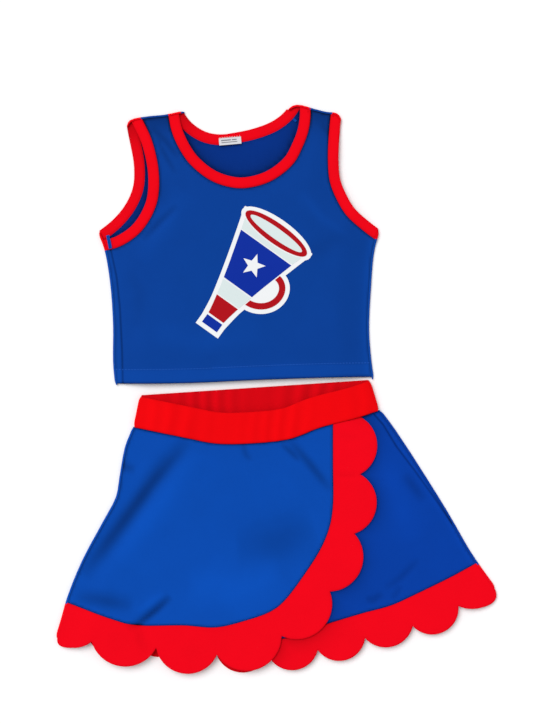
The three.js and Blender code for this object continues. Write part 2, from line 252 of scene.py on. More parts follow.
def folded(points, area, folds, dark=False):
    # soft valleys and ridges along short lines, fading at both ends
    total = np.zeros(len(points))
    ends = np.sin(np.linspace(0, math.pi, foldParts + 1)) ** foldFade
    for row in folds:
        line = evenly(placed(area, row["line"]), foldParts + 1)
        best, share = np.full(len(points), 9.0), np.zeros(len(points))
        for k in range(foldParts):
            along = line[k + 1] - line[k]
            t = np.clip(((points - line[k]) @ along) / max(float(along @ along), 1e-12), 0, 1)
            far = np.linalg.norm(points - line[k] - t[:, None] * along, axis=1)
            near = far < best
            best[near] = far[near]
            share[near] = (ends[k] + (ends[k + 1] - ends[k]) * t)[near]
        strength = row["height"] * (row["dark"] if dark else 1.0)
        total += strength * share * np.exp(-(best / row["width"]) ** 2)
    return total


def rolling(points, size, height, phase=0.0):
    # the faint unevenness of cloth that was smoothed out by hand
    x, y = points[:, 0] / size, points[:, 1] / size
    across = np.sin(x + 1.7 * np.sin(0.6 * y + phase))
    along = np.cos(0.9 * y + 1.3 * np.sin(0.5 * x + 2 * phase))
    return height * across * along


lay = {
    "cloth": 0.8 * mm,         # one layer of knit
    "overFloor": 0.05 * mm,    # nothing sinks into the floor
    "backTop": 0.95 * mm,      # upper side of the layer on the floor
    "edge": 2.8 * mm,          # upper side of the front layer at a closed edge
    "topRise": 4.6 * mm,       # how much the front of the top stands over its edges
    "skirtRise": 3.2 * mm,
    "wrapRise": 2.4 * mm,      # the wrap stands higher than that
    "overUnder": 1.3 * mm,     # and at least so much over the panel under it
    "sideReach": 36 * mm,
    "openSag": 1.3 * mm,       # the front layer sinks towards an open edge
    "openReach": 24 * mm,
    "seamReach": 1.4 * mm,     # how wide the shade beside a sewn edge is
}

# the sewn edges, where a front layer comes down to its back
topClosed = ("side_seam_left", "side_seam_right", "shoulder_seam_left", "shoulder_seam_right")
bandClosed = ("waistband_seam_left", "waistband_seam_right")
skirtClosed = ("skirt_seam_left", "skirt_seam_right") + bandClosed
seamLines = {n: sum(sidesOf(n)) / 2 for n in topClosed + skirtClosed}
print("outlines read")

topFolds = [
    fold([(0.163, 0.936), (0.219, 0.886), (0.274, 0.820)], 3.2, -1.3, dark=1.5),
    fold([(0.267, 0.649), (0.200, 0.588), (0.137, 0.522)], 2.8, -1.6, dark=1.5),
    fold([(0.300, 0.700), (0.210, 0.560), (0.120, 0.440)], 12, 1.0),
    fold([(0.185, 0.900), (0.215, 0.840), (0.262, 0.760)], 2.4, -0.9, dark=2),
    fold([(0.150, 0.800), (0.200, 0.720), (0.215, 0.640)], 7, -0.9),
    fold([(0.800, 0.950), (0.835, 0.900), (0.845, 0.830)], 3, -0.9, dark=2),
    fold([(0.900, 0.880), (0.860, 0.780), (0.870, 0.680)], 5, -0.9),
    fold([(0.930, 0.560), (0.800, 0.490), (0.700, 0.470)], 9, -0.8),
    fold([(0.100, 0.200), (0.350, 0.150), (0.600, 0.170)], 12, 0.6),
    fold([(0.080, 0.420), (0.130, 0.330), (0.120, 0.200)], 7, -0.7),
    fold([(0.720, 0.700), (0.800, 0.600), (0.930, 0.520)], 5, 0.7),
]
wrapFolds = [
    fold([(0.306, 0.798), (0.261, 0.723), (0.220, 0.651), (0.178, 0.562), (0.106, 0.415), (0.058, 0.326)],
         7.5, -3.4, dark=1.25),
    fold([(0.325, 0.764), (0.270, 0.640), (0.205, 0.500), (0.140, 0.370)], 12, 1.3),
    fold([(0.265, 0.264), (0.229, 0.216), (0.189, 0.169), (0.166, 0.150)], 3.4, -2.8, dark=1.7),
    fold([(0.250, 0.275), (0.215, 0.235), (0.190, 0.205)], 4, 1.0),
    fold([(0.189, 0.175), (0.198, 0.114), (0.216, 0.063)], 5, -1.3),
    fold([(0.040, 0.261), (0.103, 0.251), (0.182, 0.230)], 8, -2.1, dark=1.2),
    fold([(0.410, 0.440), (0.499, 0.450), (0.590, 0.500)], 21, -1.7),
    fold([(0.510, 0.785), (0.531, 0.757), (0.553, 0.723)], 2.6, -1.2, dark=2),
    fold([(0.528, 0.797), (0.571, 0.723), (0.625, 0.620)], 4.2, -1.4, dark=2),
    fold([(0.425, 0.790), (0.432, 0.747), (0.445, 0.723)], 3, -0.9, dark=2),
    fold([(0.144, 0.740), (0.162, 0.702), (0.185, 0.695)], 4.5, -2.2),
    fold([(0.636, 0.678), (0.661, 0.671), (0.688, 0.675)], 1.8, -1.0),
    fold([(0.640, 0.815), (0.665, 0.800), (0.690, 0.803)], 4, -0.7),
    fold([(0.300, 0.300), (0.420, 0.280), (0.520, 0.340)], 20, 1.2),
]
underFolds = [
    fold([(0.789, 0.680), (0.807, 0.641), (0.835, 0.585)], 5, -1.9),
    fold([(0.744, 0.285), (0.778, 0.319), (0.823, 0.387)], 3, -1.3),
    fold([(0.700, 0.250), (0.720, 0.248), (0.742, 0.270)], 3.4, -1.7),
    fold([(0.760, 0.250), (0.772, 0.268), (0.780, 0.300)], 3, -1.3),
    fold([(0.730, 0.820), (0.765, 0.640), (0.810, 0.440)], 14, 1.1),
]
# where a sewn seam shows as a groove a little inside a closed edge
sideGroove = [(0.012, 0.510), (0.039, 0.388), (0.051, 0.275), (0.059, 0.123), (0.062, 0.000)]
hipGroove = [(0.721, 0.882), (0.741, 0.848), (0.771, 0.773), (0.814, 0.687), (0.859, 0.592), (0.897, 0.506)]
grooveSettings = {
    "reach": 1.5 * mm,
    "core": 0.6,           # share of the reach in which it is deep
    "depth": 0.75 * mm,
    "shade": 0.50,
    "rows": (-1.0, -0.45, 0.0, 0.45, 1.0),      # cuts across it, in reaches
    "cutWide": 5 * mm,     # faces within this are cut
    "cutOver": 2 * mm,
}


def grooveNear(points, area, line):
    core = grooveSettings["core"] * grooveSettings["reach"]
    return nearness(points, evenly(placed(area, line), 40), core)


def grooveCut(bm, line):
    # close rows of points along a groove, so that it stays a clean line
    line = evenly(line, 12)
    for a, b in zip(line[:-1], line[1:]):
        length = np.linalg.norm(b - a)
        along = (b - a) / length
        across = Vector((-along[1], along[0], 0))
        for offset in grooveSettings["rows"]:
            near = []
            for f in bm.faces:
                place = np.array(f.calc_center_median().xy) - a
                inLine = -grooveSettings["cutOver"] < place @ along < length + grooveSettings["cutOver"]
                if inLine and abs(place @ np.array(across.xy)) < grooveSettings["cutWide"]:
                    near.append(f)
            geom = near + list({e for f in near for e in f.edges}) + list({v for f in near for v in f.verts})
            bmesh.ops.bisect_plane(bm, geom=geom, dist=cutReach, plane_no=across,
                                   plane_co=Vector((*a, 0)) + across * offset * grooveSettings["reach"])


def closedAway(points, names):
    return np.min([away(points, seamLines[n]) for n in names], 0)


def topBackTop(points):
    return lay["backTop"] + 0 * points[:, 0]


def topFrontTop(points):
    side = rise(closedAway(points, topClosed), lay["sideReach"])
    openEdges = ("neck_binding_front", "armhole_binding_left_front", "armhole_binding_right_front",
                 "hem_stitch_front")
    sag = lay["openSag"] * (1 - rise(outlineAway(points, openEdges), lay["openReach"]))
    loose = folded(points, topArea, topFolds) + rolling(points, 26 * mm, 0.35 * mm, 0.4)
    groove = grooveSettings["depth"] * grooveNear(points, topArea, sideGroove)
    return lay["edge"] + side * (lay["topRise"] - sag + loose) - groove


def underTop(points):
    side = rise(closedAway(points, skirtClosed), lay["sideReach"])
    loose = folded(points, skirtArea, underFolds) + rolling(points, 30 * mm, 0.3 * mm, 1.1)
    groove = grooveSettings["depth"] * grooveNear(points, skirtArea, hipGroove)
    return lay["edge"] + side * (lay["skirtRise"] + loose) - groove


def wrapTop(points):
    side = rise(closedAway(points, skirtClosed), lay["sideReach"])
    loose = folded(points, skirtArea, wrapFolds) + rolling(points, 34 * mm, 0.4 * mm, 2.3)
    own = lay["edge"] + side * (lay["skirtRise"] + lay["wrapRise"] + loose)
    return np.maximum(own, underTop(points) + lay["overUnder"])


band = {
    "endTop": 6.9 * mm,
    "rise": 3.4 * mm,          # the band's middle over its ends
    "reach": 30 * mm,
    "gather": 0.5 * mm,        # height of the gathers in front
    "backGather": 0.4 * mm,
    "gatherPitch": 5.2 * mm,
    "gatherLong": 9 * mm,
    "frontPhase": 0.6,
    "backPhase": 2.9,
    "frontShade": 0.04,
    "backShade": 0.12,
    "elastic": 0.9 * mm,
    "elasticDown": 1.15 * mm,  # the elastic's top under the outer layer's
    "innerDown": 2.2 * mm,
    "step": 2.2 * mm,
    "rim": (2.0 * mm, 0.7 * mm),
}


def gathers(points, strength, phase):
    # puckers across the band, where the elastic draws it in
    x, y = points[:, 0] / band["gatherPitch"], points[:, 1] / band["gatherLong"]
    pucker = np.sin(x * 2.1 + 0.7 * np.sin(y + phase) + 2 * np.sin(x * 0.23 + phase))
    patch = 0.55 + 0.45 * np.sin(x * 0.31 + phase * 2)
    return strength * pucker * patch


def bandTop(points):
    ends = rise(closedAway(points, bandClosed), band["reach"])
    return band["endTop"] + band["rise"] * ends + gathers(points, band["gather"], band["frontPhase"])


def backBandTop(points):
    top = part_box("waistband_back_inner")[1].z
    return top + gathers(points, band["backGather"], band["backPhase"])


def flatSheet(outline, step, rings):
    # a sheet cut from its outline, with rings along its rim and a grid over the rest
    bm = bmesh.new()
    face = bm.faces.new([bm.verts.new((x, y, 0)) for x, y in outline])
    face.normal_update()
    for width in rings:
        bmesh.ops.inset_region(bm, faces=[face], thickness=width, use_even_offset=False, use_boundary=True)
    untangle(bm)
    gridCut(bm, step)
    untangle(bm)
    return bm


def untangle(bm, rounds=40):
    # where the rings cross in a sharp corner, their points move apart
    for k in range(rounds):
        bm.normal_update()
        crossed = [v for v in bm.verts if not v.is_boundary and any(f.normal.z < 0 for f in v.link_faces)]
        if not crossed:
            return
        bmesh.ops.smooth_vert(bm, verts=crossed, factor=0.5, use_axis_x=True, use_axis_y=True)
    print("still crossed:", len(crossed))


def gridCut(bm, step):
    co = np.array([v.co.xy for v in bm.verts])
    for axis in (0, 1):
        normal = Vector((1 - axis, axis, 0))
        first = math.ceil(co[:, axis].min() / step) * step
        for k in range(int((co[:, axis].max() - first) / step) + 1):
            bmesh.ops.bisect_plane(bm, geom=bm.verts[:] + bm.edges[:] + bm.faces[:], dist=cutReach,
                                   plane_co=normal * (first + k * step), plane_no=normal)


def toMesh(bm, name, flip=False):
    if flip:
        bmesh.ops.reverse_faces(bm, faces=bm.faces)
    mesh = bpy.data.meshes.new(name)
    bm.to_mesh(mesh)
    bm.free()
    obj = bpy.data.objects.new(name, mesh)
    bpy.context.scene.collection.objects.link(obj)
    return obj


def thickened(obj, thick):
    # the wall goes down from the sheet's upper side
    solid = obj.modifiers.new("thickness", "SOLIDIFY")
    solid.thickness = thick
    solid.offset = -1
    bpy.context.view_layer.update()
    mesh = bpy.data.meshes.new_from_object(obj.evaluated_get(bpy.context.evaluated_depsgraph_get()))
    obj.modifiers.clear()
    obj.data = mesh
    mesh.shade_smooth()
    mesh.set_sharp_from_angle(angle=math.radians(55))
    return obj


def roundEnd(outline, spot, before, after, full):
    # the corner nearest to the spot becomes a round end
    loop = np.roll(outline, -nearest(outline, placed(skirtArea, [spot])[0]), 0)
    along = np.append(0, np.cumsum(np.linalg.norm(np.diff(closed(loop), axis=0), axis=1)))
    a = int(np.argmax(along > after))
    b = int(np.flatnonzero(along[-1] - along > before)[-1])
    start, end = loop[b], loop[a]
    startWay = (start - loop[b - 1]) / np.linalg.norm(start - loop[b - 1])
    endWay = (end - loop[a + 1]) / np.linalg.norm(end - loop[a + 1])
    c1, c2 = start + startWay * before * full[0], end + endWay * after * full[1]
    t = np.linspace(0, 1, 20)[1:-1, None]
    curve = (1 - t)**3 * start + 3 * (1 - t)**2 * t * c1 + 3 * (1 - t) * t**2 * c2 + t**3 * end
    return np.vstack([loop[a:b + 1], curve])


# where a round end is, how far it reaches back and on along the hem, and how full each half is
hemEnds = {
    "left": {"spot": (0.006, 0.113), "before": 7 * mm, "after": 22 * mm, "full": (1.6, 0.82)},
    "right": {"spot": (1.0, 0.267), "before": 26 * mm, "after": 8 * mm, "full": (0.8, 1.25)},
}


def layUp(bm, heightOf):
    points = np.array([v.co.xy for v in bm.verts])
    for v, z in zip(bm.verts, heightOf(points)):
        v.co.z = z


def finished(obj, material, nodes, body):
    obj.data.materials.append(material)
    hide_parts(*nodes)
    if body:
        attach(obj, body)
    return obj


def declareCloth(obj):
    return obj


def shaded(obj, values=None):
    # painted light and shade: how much lighter or darker the cloth's colour is at each point, 1 where
    # nothing changes it
    attribute = obj.data.attributes.get("shade") or obj.data.attributes.new("shade", "FLOAT", "POINT")
    light = np.ones(len(obj.data.vertices)) if values is None else values
    attribute.data.foreach_set("value", np.asarray(light, np.float32))


def planPoints(obj):
    co = np.zeros(len(obj.data.vertices) * 3, np.float32)
    obj.data.vertices.foreach_get("co", co)
    return co.reshape(-1, 3)[:, :2].astype(float)


pieceSettings = {
    "step": 4.5 * mm,      # grid of a plain sheet
    "fineStep": 2.6 * mm,  # and of one with folds
    "rim": (1.1 * mm, 0.5 * mm),      # the rim rounds off over this width, by this height
    "rings": (0.25, 0.3, 0.45),       # rings along the rim, as shares of that width
    "stripShare": 0.42,    # a piece that fills less of its box than this is a strip
}


def clothPiece(name, nodes, body, heightOf, material, slot, thick=lay["cloth"], step=pieceSettings["step"],
               rim=pieceSettings["rim"], lift=0.0, rests=(), held="laid", onIt=(), seamShade=0.0,
               shadeOf=None, groove=None, ends=()):
    outline = cutOutline(tuple(nodes))
    for end in ends:
        outline = roundEnd(outline, **hemEnds[end])
    area = abs(signedArea(outline))
    around = lengthOf(closed(outline))
    width, drop = rim
    bm = flatSheet(outline, step, [width * share for share in pieceSettings["rings"]])
    if groove is not None:
        grooveCut(bm, groove)

    def height(points):
        inside = np.clip(away(points, closed(outline)) / width, 0, 1)
        laid = heightOf(points) + lift - drop * (1 - np.sqrt(1 - (1 - inside) ** 2))
        return np.maximum(laid, thick + lay["overFloor"])

    layUp(bm, height)
    obj = thickened(toMesh(bm, name), thick)
    finished(obj, material, nodes, body)
    points = planPoints(obj)
    # painted light and shade from shadeOf, with painted shade along the piece's whole rim
    light = shadeOf(points) if shadeOf else np.ones(len(points))
    shaded(obj, light - seamShade * np.exp(-(away(points, closed(outline)) / lay["seamReach"]) ** 2))
    if not held:      # too small to be a sheet by itself
        return obj
    size = outline.max(0) - outline.min(0)
    if area < pieceSettings["stripShare"] * size[0] * size[1]:      # a strip's mean width and length
        size = (2 * area / around, around / 2)
    return declareCloth(obj)


def paint(r, g, b):
    # the linear colour that shaders read, from screen levels of 0 to 255
    levels = [c / 255 for c in (r, g, b)]
    linear = [c / 12.92 if c <= 0.04045 else ((c + 0.055) / 1.055) ** 2.4 for c in levels]
    return (*linear, 1.0)


def newGroup(name, inputs, outputs):
    group = bpy.data.node_groups.new(name, "ShaderNodeTree")
    for label, kind, value in inputs:
        socket = group.interface.new_socket(label, in_out="INPUT", socket_type="NodeSocket" + kind)
        if value is not None:
            socket.default_value = value
    for label, kind in outputs:
        group.interface.new_socket(label, in_out="OUTPUT", socket_type="NodeSocket" + kind)
    return group, group.nodes.new("NodeGroupInput"), group.nodes.new("NodeGroupOutput")


def mathNode(tree, operation, a, b=None):
    node = tree.nodes.new("ShaderNodeMath")
    node.operation = operation
    for k, value in enumerate((a, b)):
        if isinstance(value, bpy.types.NodeSocket):
            tree.links.new(value, node.inputs[k])
        elif value is not None:
            node.inputs[k].default_value = value
    return node.outputs[0]


def noiseNode(tree, place, scale):
    noise = tree.nodes.new("ShaderNodeTexNoise")
    noise.inputs["Scale"].default_value = scale
    noise.inputs["Detail"].default_value = 2
    tree.links.new(place, noise.inputs["Vector"])
    return noise.outputs["Fac"]


weaveSettings = {"slant": 1.3, "legs": 0.45, "rows": 0.2, "fuzzScale": 2600}
dyeSettings = {"patches": (38.0, 0.7), "yarns": (1300.0, 1.0)}      # noise scale and share


def makeKnitWeave():
    # columns of small V stitches, Wale and Course are stitches per metre
    g, ins, outs = newGroup("knitWeave", [("Vector", "Vector", None), ("Wale", "Float", 1100.0),
                            ("Course", "Float", 1250.0), ("Fuzz", "Float", 0.3)], [("Height", "Float")])
    split = g.nodes.new("ShaderNodeSeparateXYZ")
    g.links.new(ins.outputs["Vector"], split.inputs[0])
    columns = mathNode(g, "MULTIPLY", split.outputs[0], ins.outputs["Wale"])
    across = mathNode(g, "SUBTRACT", mathNode(g, "FRACT", columns), 0.5)
    leg = mathNode(g, "ABSOLUTE", across)
    legWave = mathNode(g, "SINE", mathNode(g, "MULTIPLY", leg, 2 * math.pi))
    along = mathNode(g, "MULTIPLY", split.outputs[1], ins.outputs["Course"])
    slanted = mathNode(g, "ADD", along, mathNode(g, "MULTIPLY", leg, weaveSettings["slant"]))
    rowWave = mathNode(g, "COSINE", mathNode(g, "MULTIPLY", slanted, 2 * math.pi))
    noise = noiseNode(g, ins.outputs["Vector"], weaveSettings["fuzzScale"])
    fuzz = mathNode(g, "MULTIPLY", noise, ins.outputs["Fuzz"])
    legs = mathNode(g, "MULTIPLY", legWave, weaveSettings["legs"])
    rows = mathNode(g, "MULTIPLY", rowWave, weaveSettings["rows"])
    yarn = mathNode(g, "ADD", legs, rows)
    g.links.new(mathNode(g, "ADD", yarn, fuzz), outs.inputs["Height"])
    return g


def makeDyeAndPaintedShade():
    # dye that took a little unevenly, in soft patches and from yarn to yarn, times the painted light and
    # shade that comes in as Shade
    g, ins, outs = newGroup("dyeAndPaintedShade", [("Vector", "Vector", None), ("Color", "Color", None),
                            ("Amount", "Float", 0.1), ("Shade", "Float", 1.0)], [("Color", "Color")])
    total = ins.outputs["Shade"]
    for scale, share in dyeSettings.values():
        centred = mathNode(g, "SUBTRACT", noiseNode(g, ins.outputs["Vector"], scale), 0.5)
        swing = mathNode(g, "MULTIPLY", centred, ins.outputs["Amount"])
        total = mathNode(g, "ADD", total, mathNode(g, "MULTIPLY", swing, share))
    tint = g.nodes.new("ShaderNodeHueSaturation")
    g.links.new(ins.outputs["Color"], tint.inputs["Color"])
    g.links.new(total, tint.inputs["Value"])
    g.links.new(tint.outputs["Color"], outs.inputs["Color"])
    return g


knitWeave = makeKnitWeave()
dyeAndPaintedShade = makeDyeAndPaintedShade()
knitSettings = {"sheenRoughness": 0.45, "specular": 0.05, "bumpHeight": 0.12 * mm}


def clothMaterial(name, colour, wale=1100.0, course=1250.0, fuzz=0.35, bump=0.35, amount=0.16,
                  roughness=0.82, sheen=0.012, pattern=None):
    material = bpy.data.materials.new(name)
    material.use_nodes = True
    tree = material.node_tree
    shader = tree.nodes["Principled BSDF"]
    shader.inputs["Roughness"].default_value = roughness
    shader.inputs["Sheen Weight"].default_value = sheen
    shader.inputs["Sheen Roughness"].default_value = knitSettings["sheenRoughness"]
    shader.inputs["Specular IOR Level"].default_value = knitSettings["specular"]
    coords = tree.nodes.new("ShaderNodeTexCoord")
    weave = tree.nodes.new("ShaderNodeGroup")
    weave.node_tree = knitWeave
    for label, value in (("Wale", wale), ("Course", course), ("Fuzz", fuzz)):
        weave.inputs[label].default_value = value
    tree.links.new(coords.outputs["Object"], weave.inputs["Vector"])
    dyeAndShade = tree.nodes.new("ShaderNodeGroup")
    dyeAndShade.node_tree = dyeAndPaintedShade
    dyeAndShade.inputs["Color"].default_value = paint(*colour)
    dyeAndShade.inputs["Amount"].default_value = amount
    if pattern:
        tree.links.new(pattern(tree, coords.outputs["Object"], paint(*colour)), dyeAndShade.inputs["Color"])
    tree.links.new(coords.outputs["Object"], dyeAndShade.inputs["Vector"])
    # painted light and shade of each point, from the shade attribute
    shade = tree.nodes.new("ShaderNodeAttribute")
    shade.attribute_name = "shade"
    tree.links.new(shade.outputs["Fac"], dyeAndShade.inputs["Shade"])
    tree.links.new(dyeAndShade.outputs["Color"], shader.inputs["Base Color"])
    raised = tree.nodes.new("ShaderNodeBump")
    raised.inputs["Strength"].default_value = bump
    raised.inputs["Distance"].default_value = knitSettings["bumpHeight"]
    tree.links.new(weave.outputs["Height"], raised.inputs["Height"])
    tree.links.new(raised.outputs["Normal"], shader.inputs["Normal"])
    return material


topBlue = clothMaterial("topBlueKnit", (6, 59, 141), wale=1150, course=1300)
# a darker copy of the top's blue: painted shade on the back's inside, seen through the neck and armholes
topShadedInside = clothMaterial("topBlueInsideShaded", (3, 46, 126), wale=1150, course=1300, fuzz=0.6)
# a lighter copy of the top's blue: painted light on the rounded side edges and the seam tabs
topSideLit = clothMaterial("topBlueSideLit", (10, 70, 160), wale=1150, course=1300)
wrapBlue = clothMaterial("wrapBlueKnit", (5, 70, 166), wale=1050, course=1200)
underBlue = clothMaterial("underBlueKnit", (3, 57, 152), wale=1050, course=1200)
bindingRed = clothMaterial("bindingRedKnit", (230, 1, 20), wale=1300, course=1500, fuzz=0.25, amount=0.12)
# a darker copy of the red: painted shade on the waistband's inner faces and the back trim
shadedInsideRed = clothMaterial("bindingRedInsideShaded", (206, 1, 14), wale=1300, course=1500, fuzz=0.25, amount=0.12)
trimRed = clothMaterial("trimRedKnit", (231, 1, 22), wale=1200, course=1400, fuzz=0.3, amount=0.12)
bandRed = clothMaterial("bandRedKnit", (229, 1, 8), wale=1100, course=1300, fuzz=0.3, amount=0.12)
elasticWhite = clothMaterial("whiteElastic", (232, 232, 228), wale=700, course=260, fuzz=0.2, bump=0.8)
threadBlue = clothMaterial("blueThread", (34, 90, 186), wale=2600, course=1500, fuzz=0.3, bump=0.2)
threadWhite = clothMaterial("whiteThread", (226, 228, 230), wale=2600, course=1500, fuzz=0.3, bump=0.2)


def filmMaterial(name, colour):
    # printed film, smooth, with the knit just showing through it
    return clothMaterial(name, colour, wale=1150, course=1300, fuzz=0.2, bump=0.12, amount=0.07,
                         roughness=0.46, sheen=0.0)


filmWhite = filmMaterial("filmKeyline", (230, 232, 234))
filmPale = filmMaterial("filmPale", (209, 221, 221))
filmBlue = filmMaterial("filmBlue", (6, 42, 150))
filmRed = filmMaterial("filmRed", (168, 10, 22))

labelSettings = {
    "colour": (206, 206, 210),
    "mark": (120, 122, 128),
    # middle along and across the label, half length and half height, in mm
    "bars": ((-4.0, 1.2, 5.0, 0.6), (4.2, 1.2, 2.4, 0.6), (-0.8, -1.0, 8.0, 0.45)),
    "curl": 1.3 * mm,          # the free edge stands up by this
    "curlReach": 7 * mm,
}


def labelBars(tree, place, colour):
    # plain grey bars, in the label's own direction
    low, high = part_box("neck_label")
    turned = tree.nodes.new("ShaderNodeMapping")
    turned.vector_type = "TEXTURE"
    turned.inputs["Location"].default_value = (low + high) / 2
    turned.inputs["Rotation"].default_value = (0, 0, labelAngle())
    tree.links.new(place, turned.inputs["Vector"])
    split = tree.nodes.new("ShaderNodeSeparateXYZ")
    tree.links.new(turned.outputs["Vector"], split.inputs[0])
    mask = 0.0
    for x, y, halfLong, halfHigh in labelSettings["bars"]:
        near = []
        for axis, middle, half in ((0, x, halfLong), (1, y, halfHigh)):
            far = mathNode(tree, "ABSOLUTE", mathNode(tree, "SUBTRACT", split.outputs[axis], middle * mm))
            near.append(mathNode(tree, "LESS_THAN", far, half * mm))
        mask = mathNode(tree, "MAXIMUM", mathNode(tree, "MULTIPLY", *near), mask)
    mix = tree.nodes.new("ShaderNodeMix")
    mix.data_type = "RGBA"
    tree.links.new(mask, mix.inputs["Factor"])
    mix.inputs["A"].default_value = colour
    mix.inputs["B"].default_value = paint(*labelSettings["mark"])
    return mix.outputs["Result"]


def labelAngle():
    side = sidesOf("neck_label", 2)[0]
    x, y = side[1] - side[0]
    return math.atan2(y, x) if x > 0 else math.atan2(-y, -x)


labelSatin = clothMaterial("labelSatin", labelSettings["colour"], wale=2400, course=2400, fuzz=0.1,
                           bump=0.15, amount=0.06, roughness=0.42, sheen=0.0, pattern=labelBars)
print("materials ready")

stripSettings = {
    "thick": 0.7 * mm,
    "bottom": 0.1 * mm,
    "below": 0.15 * mm,        # its top lies this far under the cloth's own top
    "inward": 0.5,             # it reaches in by this share of its width
    "outward": 1.25,           # and out over the closed edge by this one
    "endTaper": 4.5 * mm,
    "smooth": 5,               # points over which a change of height is spread
}


def redPart(inner, centre, red, panel, blueEnd):
    # 1 where red cloth crosses the seam, 0 elsewhere and within blueEnd of its nearer end
    if not red:
        return np.zeros(len(inner))
    isRed = (outlineAway(inner, red) < outlineAway(inner, [panel])).astype(float)
    for end, other in ((0, -1), (-1, 0)):
        if blueEnd and abs(inner[end][0] - centre[0]) < abs(inner[other][0] - centre[0]):
            isRed[np.linalg.norm(inner - inner[end], axis=1) < blueEnd] = 0
    return isRed


def seamStrip(name, node, body, centre, topAt, material, arc=12, count=90, red=(),
              panel="top_front_panel", redMaterial=None, redLift=0.0, blueEnd=0.0, endCut=0):
    # a strip that wraps round a closed edge, with its farther end cut back by endCut of its 200 points
    sides = sidesOf(node, 200)
    farFirst = abs(sides[0][0][0] - centre[0]) > abs(sides[0][-1][0] - centre[0])
    sides = [evenly(s[endCut:] if farFirst else s[:len(s) - endCut], count + 1) for s in sides]
    middle = sides[0] * 0.5 + sides[1] * 0.5
    inner, outer = sorted(sides, key=lambda s: np.linalg.norm(s - centre, axis=1).mean())
    fromEnd = np.min([np.linalg.norm(outer - outer[k], axis=1) for k in (0, -1)], 0)
    ends = np.sqrt(np.clip(fromEnd / stripSettings["endTaper"], 0.02, 1))[:, None]
    across = outer - inner
    inner, outer = inner - across * stripSettings["inward"], inner + across * stripSettings["outward"] * ends
    isRed = redPart(inner, centre, red, panel, blueEnd)
    spread = stripSettings["smooth"]
    soft = np.convolve(np.pad(isRed, spread // 2, "edge"), np.ones(spread) / spread, "valid")
    bottom = stripSettings["bottom"]
    top = topAt(inner) - stripSettings["below"] + soft * redLift
    bm = bmesh.new()
    bmesh.ops.create_grid(bm, x_segments=count, y_segments=arc, size=0.5)
    for v in bm.verts:
        k = min(count, max(0, round((v.co.x + 0.5) * count)))
        turn = (0.5 - v.co.y) * math.pi
        reach = inner[k] if turn < math.pi / 2 else middle[k]
        place = reach + (outer[k] - reach) * math.sin(turn)
        v.co = (*place, bottom + (top[k] - bottom) * (1 + math.cos(turn)) / 2)
    redFaces = []
    for f in bm.faces:
        redFaces.append(int(isRed[nearest(outer, np.array(f.calc_center_median().xy))] > 0.5))
    bmesh.ops.recalc_face_normals(bm, faces=bm.faces)
    upper = max(bm.faces, key=lambda f: f.calc_center_median().z)
    area = sum(f.calc_area() for f in bm.faces)
    obj = toMesh(bm, name, flip=upper.normal.z < 0)
    finished(obj, material, [node], body)
    if redMaterial:
        obj.data.materials.append(redMaterial)
        for face, f in zip(obj.data.polygons, redFaces):
            face.material_index = f
    thickened(obj, stripSettings["thick"])
    for v in obj.data.vertices:
        v.co.z = max(v.co.z, lay["overFloor"])
    shaded(obj)
    return declareCloth(obj)


def stitchRow(name, node, body, heightOf, lift, material,
              pitch=3.1 * mm, long=2.5 * mm, thick=0.6 * mm):
    middle = sum(sidesOf(node, 200)) / 2
    count = int(lengthOf(middle) / pitch)
    spots = evenly(middle, 2 * count + 1)
    bm = bmesh.new()
    for k in range(count):
        a, b, c = spots[2 * k:2 * k + 3]
        z = float(heightOf(b[None])[0]) + lift
        turned = Matrix.Rotation(math.atan2(c[1] - a[1], c[0] - a[0]), 4, "Z")
        place = Matrix.Translation((b[0], b[1], z)) @ turned
        bmesh.ops.create_icosphere(bm, subdivisions=1, radius=0.5,
                                   matrix=place @ Matrix.Diagonal((long, thick * 1.5, thick, 1)))
    obj = toMesh(bm, name)
    obj.data.shade_smooth()
    finished(obj, material, [node], body)
    shaded(obj)
    return obj


def labelTop(points):
    # the size label curls up from its sewn edge
    a, b = sidesOf("neck_label", 2)
    hinge = a if (a[:, 1].mean() > b[:, 1].mean()) else b
    far = away(points, hinge)
    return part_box("neck_label")[1].z + labelSettings["curl"] * (far / labelSettings["curlReach"]) ** 2


def labelThreadTop(points):
    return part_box("label_stitch")[1].z + 0 * points[:, 0]


label = clothPiece("neckLabel", ["neck_label"], "neck_label", labelTop, labelSatin, "label_satin",
                   thick=0.3 * mm, step=1.5 * mm, rim=(0.6 * mm, 0.1 * mm), held=None)
labelThread = stitchRow("labelStitch", "label_stitch", "top", labelThreadTop, -0.15 * mm, threadWhite,
                        pitch=2.4 * mm, long=1.7 * mm, thick=0.35 * mm)
print("label made")

# the top
topCentre = (topArea[0] + topArea[1]) / 2
binding = {
    "thick": 1.0 * mm,
    "rim": (2.6 * mm, 0.75 * mm),
    "step": 3.2 * mm,
    "lift": 0.72 * mm,
    "backLift": 0.47 * mm,
    "overRed": 1.5 * mm,       # a seam strip stands up by this where it crosses a binding
}
bindings = ["neck_binding_front", "neck_binding_back", "armhole_binding_left_front",
            "armhole_binding_left_back", "armhole_binding_right_front", "armhole_binding_right_back"]
# painted light and shade on the top's pieces, as shares of their colour
topLook = {
    "strapDark": 0.36,         # the strap tops lie in their own shade
    "strapReach": 17 * mm,
    "hemLight": 0.12,
    "sideLight": 0.24,
    "sideReach": 6 * mm,
    "foldShade": 0.12,         # per millimetre of fold
    "fall": 0.05,              # light falls off across the garment
    "seamShade": 0.72,
    "insideDark": 0.30,
    "insideReach": 9 * mm,
    "rimDark": 0.38,           # close beside the front bindings
    "rimReach": 2.6 * mm,
    "backStrapDark": 0.30,
    "backDark": 0.10,
    "backReach": 7 * mm,
}
hemLine = sum(sidesOf("hem_stitch_front", 30)) / 2
hemLine = hemLine[np.argsort(hemLine[:, 0])]


def besideSeams(points, start, reach):
    return sum(nearness(points, seamLines[start + end], reach) for end in ("left", "right"))


